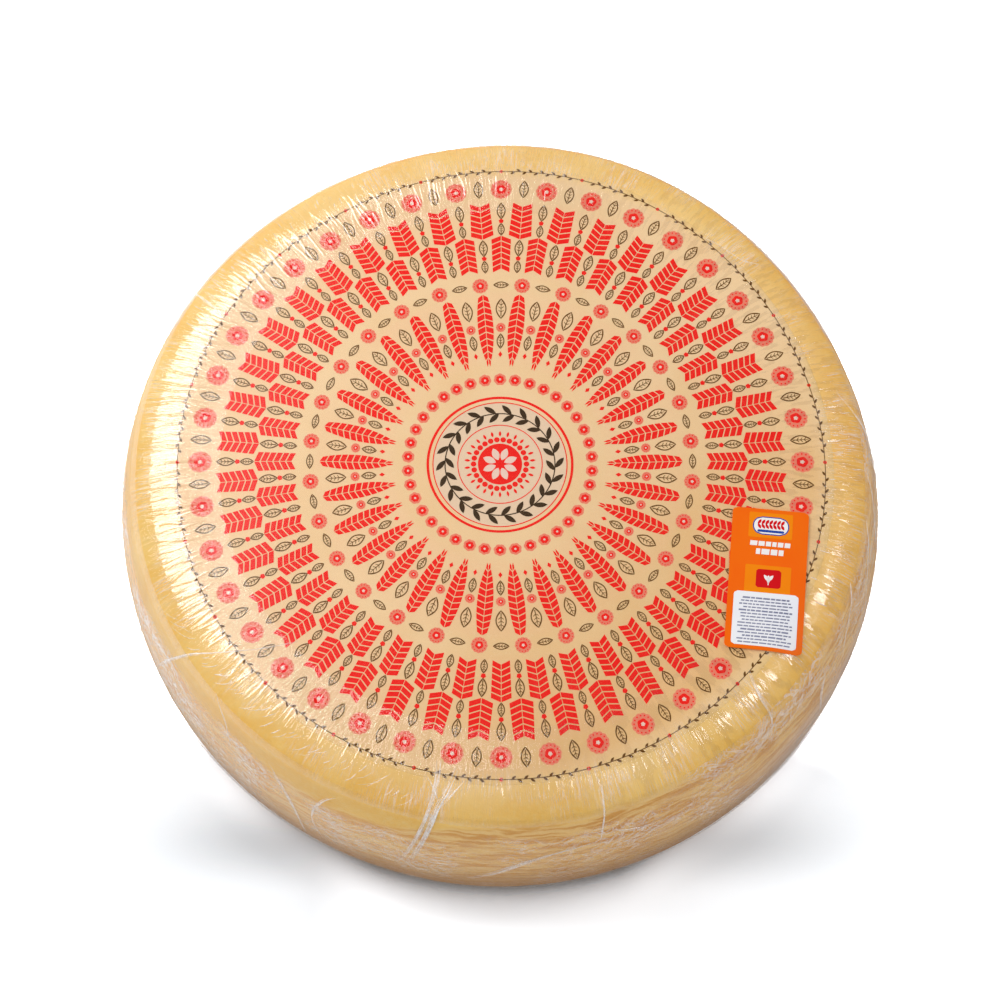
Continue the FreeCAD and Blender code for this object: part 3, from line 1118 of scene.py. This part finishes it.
def rows_of_bars(ink, rng, rows, middle, width, lengths, gap):
    """Rows of short bars of mixed lengths in mm, centred about the middle, with slanting ends. Each row
    is given as (how far up the card, how tall)."""
    slant = 0.25
    for up, tall in rows:
        room = width * rng.uniform(0.75, 1.0)
        cuts = []
        reach = 0.0
        while reach < room - lengths[0]:
            long = min(rng.uniform(*lengths), room - reach)
            cuts.append((reach, long))
            reach += long + gap
        for start, long in cuts:
            left = middle - (reach - gap) / 2 + start
            right = left + long
            foot, head = up - tall / 2, up + tall / 2
            plan = [(left, foot), (right, foot), (right + slant, head), (left + slant, head)]
            ink.polygon([(u * MM, v * MM) for u, v in plan])


# Colours from 0 to 255: each ink strong and worn, and each card paper in two tones with its roughness.
INKS = {
    "red": ((250, 24, 15), (253, 92, 66)),
    "pink": ((244, 134, 108), (244, 156, 126)),
    "pale": ((246, 214, 196), (244, 206, 180)),
    "dark": ((66, 46, 24), (104, 80, 48)),
    "olive": ((108, 70, 24), (146, 102, 46)),
}
CARD_PAPERS = {
    "orange": ((255, 112, 0), (255, 106, 0), 0.4),
    "amber": ((255, 142, 0), (255, 137, 0), 0.4),
    "white": ((252, 252, 255), (247, 248, 255), 0.45),
    "plain": ((254, 250, 248), (250, 246, 244), 0.4),
    "crimson": ((224, 10, 22), (216, 10, 20), 0.4),
    "blue": ((34, 74, 170), (30, 68, 160), 0.4),
    "slate": ((146, 148, 174), (126, 128, 156), 0.45),
}


def build_wheel():
    build_cheese(rind_material())
    build_sheet(sheet_material())
    build_print({name: ink_material("ink_" + name, *tones) for name, tones in INKS.items()})
    build_face_film(face_film_material())
    build_shoulder_film(shoulder_film_material())
    build_side_film(side_film_material())
    build_seams(seam_film_material())
    build_card({name: card_material("card_" + name, *look) for name, look in CARD_PAPERS.items()})


CAMERA_ELEVATION = math.radians(67.9)
CAMERA_DISTANCE = 3.0
SENSOR_WIDTH = 36
LENS = SENSOR_WIDTH * 2.845


def build_camera():
    """Looks steeply down along +Y at the middle of the wheel."""
    data = bpy.data.cameras.new("camera")
    data.sensor_width = SENSOR_WIDTH
    data.lens = LENS
    camera = bpy.data.objects.new("camera", data)
    bpy.context.collection.objects.link(camera)
    back = CAMERA_DISTANCE * math.cos(CAMERA_ELEVATION)
    rise = CAMERA_DISTANCE * math.sin(CAMERA_ELEVATION)
    camera.location = (0, -back, WHEEL_HEIGHT / 2 + rise)
    camera.rotation_euler = (math.pi / 2 - CAMERA_ELEVATION, 0, 0)
    bpy.context.scene.camera = camera


def panel_light(name, location, target, long_side, width, length, power):
    """A rectangular lamp that faces the target, its length along the direction long_side."""
    data = bpy.data.lights.new(name, "AREA")
    data.shape = "RECTANGLE"
    data.size = width
    data.size_y = length
    data.energy = power
    light = bpy.data.objects.new(name, data)
    bpy.context.collection.objects.link(light)
    back = (Vector(location) - Vector(target)).normalized()
    right = Vector(long_side).cross(back).normalized()
    up = back.cross(right)
    turn = Matrix((right, up, back)).transposed()
    light.matrix_world = Matrix.Translation(location) @ turn.to_4x4()
    return light


def build_lights():
    """The key lamp lights the wheel. The others only show in its glosses: a larger lamp on the same side,
    a weak one over the far left, and a strip on the right."""
    along_y = (0.1, 0.9, -0.37)
    key = panel_light("key", (-1.50, 0.84, 1.83), (-0.3, 0, 0.2), along_y, 0.95, 1.7, 23.5)
    key.visible_glossy = False
    for name, location, target, long_side, width, length, power in (
        ("softbox", (-1.47, 0.86, 1.89), (-0.35, 0, 0.2), along_y, 1.3, 1.75, 45),
        ("fringe", (-0.73, 0.84, 2.2), (-0.33, 0, 0.2), along_y, 0.62, 1.75, 2.8),
        ("strip", (1.52, -0.14, 1.87), (0.27, -0.2, 0.2), (0.5, 0.99, -0.275), 0.5, 1.14, 10.5),
    ):
        lamp = panel_light(name, location, target, long_side, width, length, power)
        lamp.visible_diffuse = False


def build_world():
    """White for what the camera sees. Glosses see a studio: white low down and dark overhead."""
    world = bpy.data.worlds.new("world")
    bpy.context.scene.world = world
    n = Nodes(world, "OutputWorld")
    path = n.add("LightPath").outputs
    x, _, z = n.add("SeparateXYZ", {0: n.add("TexCoord").outputs["Generated"]}).outputs
    glossy = n.larger(path["Is Glossy Ray"], path["Is Transmission Ray"])
    studio = n.times(n.step(z, 0.0, 0.4, 0.9, 0.08, "LINEAR"), n.step(x, 0.1, 0.8, 1.0, 0.5, "LINEAR"))
    strength = n.times_plus(glossy, studio, n.step(glossy, 0.0, 1.0, 0.85, 0.0, "LINEAR"))
    # The background's own grey times 1.25 is white.
    strength = n.larger(strength, n.times(path["Is Camera Ray"], 1.25))
    n.surface(n.add("Background", {"Color": (0.8, 0.8, 0.8), "Strength": strength}).outputs[0])


def floor_material():
    """Matt to the light. To the camera it is brighter than white, so that only its deeper shadow shows, and
    painted shadow is set into that colour: painted shade from occlusion close under the wheel in front, and a
    painted shadow band and a lower level in two soft wings beside it."""
    n = material_nodes("floor")
    x, y, _ = n.xyz()

    def ring(x_size, y_size, y_middle):
        """1 on an ellipse of these half sizes, less inside it and more outside."""
        return n.length(n.ratio(x, x_size), n.ratio(n.minus(y, y_middle), y_size))

    # Painted shadow in the floor's colour: shade from occlusion under the wheel, a darker band at both sides,
    # and a cooler tint in the shade.
    near = n.add("AmbientOcclusion", {"Distance": 0.1}, samples=8).outputs["AO"]
    painted_contact_shade = n.step(near, 0.36, 0.66, 0.3, 1.85)
    away = n.size(x)
    painted_shadow_band = n.step(n.size(n.plus(y, 0.34)), 0.0, 0.062, 1.0, 0.0)
    painted_shadow_band = n.times(painted_shadow_band, n.step(away, 0.20, 0.44, 0.40, 0.0))
    wings = n.times(n.step(x, -0.1, 0.1, 1.25, 1.75), n.minus(1.0, painted_shadow_band))
    wings = n.times(wings, n.step(ring(1.0, 1.0, 0.0), 0.435, 0.395, 1.0, 1.25))
    beside = n.step(away, 0.12, 0.2)
    level = n.plus(n.times(painted_contact_shade, n.minus(1.0, beside)), n.times(wings, beside))
    level = n.times(level, n.step(ring(0.50, 0.22, -0.40), 0.9, 1.4, 1.0, 10.0))
    tint = n.vector(n.times(level, 0.95), level, n.times(level, 1.05))
    bright = n.add("BsdfDiffuse", {"Color": tint}).outputs[0]
    matt = n.add("BsdfDiffuse", {"Color": (0.70, 0.68, 0.66)}).outputs[0]
    seen = n.add("LightPath").outputs["Is Camera Ray"]
    return n.surface(n.add("MixShader", {0: seen, 1: matt, 2: bright}).outputs[0])


def build_floor():
    half = 6.0
    corners = [(-half, -half, 0), (half, -half, 0), (half, half, 0), (-half, half, 0)]
    mesh = bpy.data.meshes.new("floor")
    mesh.from_pydata(corners, [], [(0, 1, 2, 3)])
    mesh.materials.append(floor_material())
    floor = bpy.data.objects.new("floor", mesh)
    bpy.context.collection.objects.link(floor)


build_wheel()
build_camera()
build_lights()
build_world()
build_floor()
bpy.context.scene.view_settings.view_transform = "Standard"
